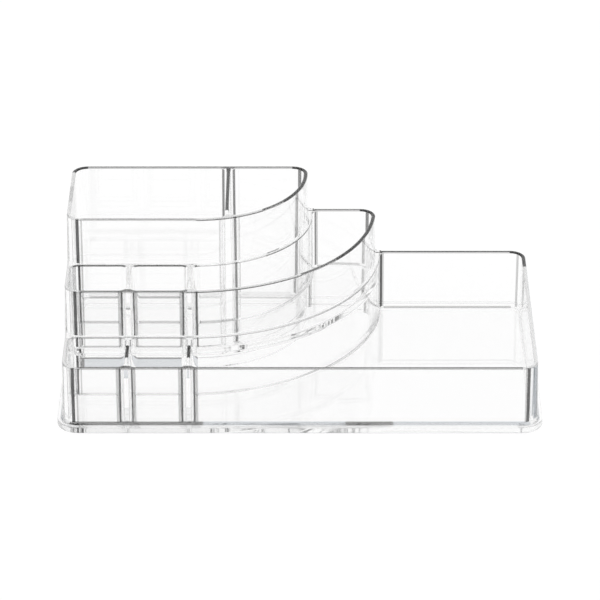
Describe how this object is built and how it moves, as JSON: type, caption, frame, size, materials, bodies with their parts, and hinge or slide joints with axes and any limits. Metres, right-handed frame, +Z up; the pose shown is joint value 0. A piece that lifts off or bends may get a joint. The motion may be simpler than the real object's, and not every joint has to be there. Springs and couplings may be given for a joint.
{
  "type": "vanity organizer",
  "caption": "Clear plastic vanity organizer with stepped tiers of open pockets, a curved end and an open tray.",
  "frame": {"origin": "middle of the underside, on the surface that the organizer stands on", "axes": "+X to the user's right along the long side, +Y from the low front to the tall back, +Z up"},
  "size_m": [0.3048, 0.1738, 0.1055],
  "materials": {
    "clear_plastic": "clear, polished"
  },
  "bodies": {
    "root": {"base_plate": "clear_plastic", "tray_left_wall": "clear_plastic", "tray_front_wall": "clear_plastic", "tray_right_wall": "clear_plastic", "tray_back_wall": "clear_plastic", "middle_left_wall": "clear_plastic", "middle_front_wall": "clear_plastic", "middle_curved_wall": "clear_plastic", "middle_corner_wall": "clear_plastic", "middle_back_wall": "clear_plastic", "top_left_wall": "clear_plastic", "top_front_wall": "clear_plastic", "top_curved_wall": "clear_plastic", "top_corner_wall": "clear_plastic", "top_back_wall": "clear_plastic", "middle_floor": "clear_plastic", "top_floor": "clear_plastic", "front_divider_left": "clear_plastic", "front_divider_right": "clear_plastic", "middle_divider_left": "clear_plastic", "middle_divider_right": "clear_plastic", "top_divider": "clear_plastic"}
  },
  "joints": []
}
